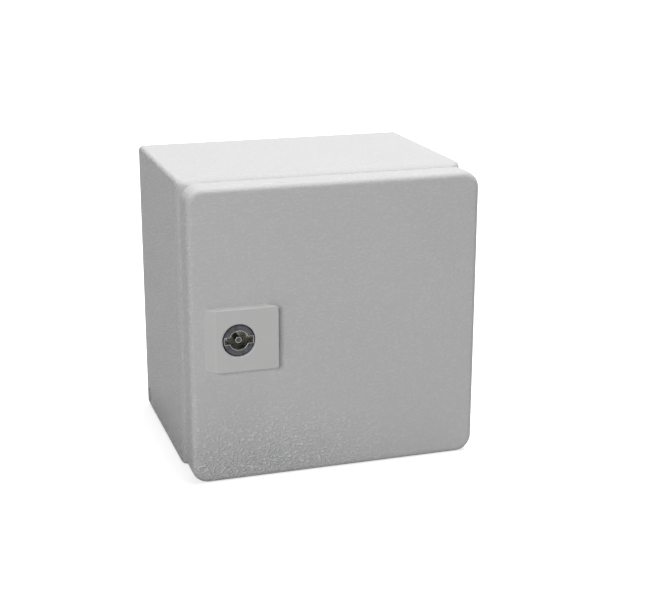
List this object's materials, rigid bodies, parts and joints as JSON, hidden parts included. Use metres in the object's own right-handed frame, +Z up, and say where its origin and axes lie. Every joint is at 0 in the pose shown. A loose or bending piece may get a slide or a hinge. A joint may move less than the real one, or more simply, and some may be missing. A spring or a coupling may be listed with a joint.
{
  "type": "steel wall enclosure",
  "caption": "Small steel wall box with a side-hinged door, concealed hinges, foamed door seal, inner mounting plate and a double-bit cam lock under a square plastic cover.",
  "frame": {"origin": "centre of the four wall-fixing holes, on the rear face that lies against the wall", "axes": "+X to the right seen from the front, +Y to the back towards the wall, +Z up; the door is on the -Y side"},
  "size_m": [0.15, 0.1248, 0.15],
  "materials": {
    "powder_coat": "light grey textured powder coat",
    "zinc_plate": "zinc-plated sheet",
    "zinc_steel": "zinc-plated steel",
    "bright_steel": "drawn steel",
    "zinc_casting": "die-cast zinc",
    "chromed_zinc": "chromed die casting",
    "cover_plastic": "fine-textured light grey moulding",
    "foam_seal": "foamed polyurethane",
    "seal_rubber": "flat rubber seal"
  },
  "bodies": {
    "box": {"body_shell": "powder_coat", "rear_panel": "powder_coat", "plate_studs": "zinc_steel", "mounting_plate": "zinc_plate", "plate_washers": "zinc_steel", "plate_nuts": "zinc_steel", "body_earth_stud": "zinc_steel", "body_earth_washer": "zinc_steel", "body_earth_nut": "zinc_steel", "upper_body_leaf": "powder_coat", "lower_body_leaf": "powder_coat", "upper_hinge_pin": "bright_steel", "lower_hinge_pin": "bright_steel"},
    "door": {"door_panel": "powder_coat", "upper_door_leaf": "powder_coat", "lower_door_leaf": "powder_coat", "door_gasket": "foam_seal", "lock_cover": "cover_plastic", "lock_seal": "seal_rubber", "lock_housing": "zinc_casting", "lock_screws": "zinc_steel", "door_earth_stud": "zinc_steel", "door_earth_washer": "zinc_steel", "door_earth_nut": "zinc_steel"},
    "lock": {"lock_insert": "chromed_zinc", "lock_cam": "zinc_steel", "cam_washer": "zinc_steel", "cam_screw": "zinc_steel"}
  },
  "joints": [
    {"name": "door_swing", "type": "hinge", "parent": "box", "child": "door", "pos_m": [0.07005, -0.107, 0], "axis": [0, 0, 1], "range_deg": [0, 130]},
    {"name": "lock_turn", "type": "hinge", "parent": "door", "child": "lock", "pos_m": [-0.05137, -0.105, 0], "axis": [0, 1, 0], "range_deg": [0, 90]}
  ]
}
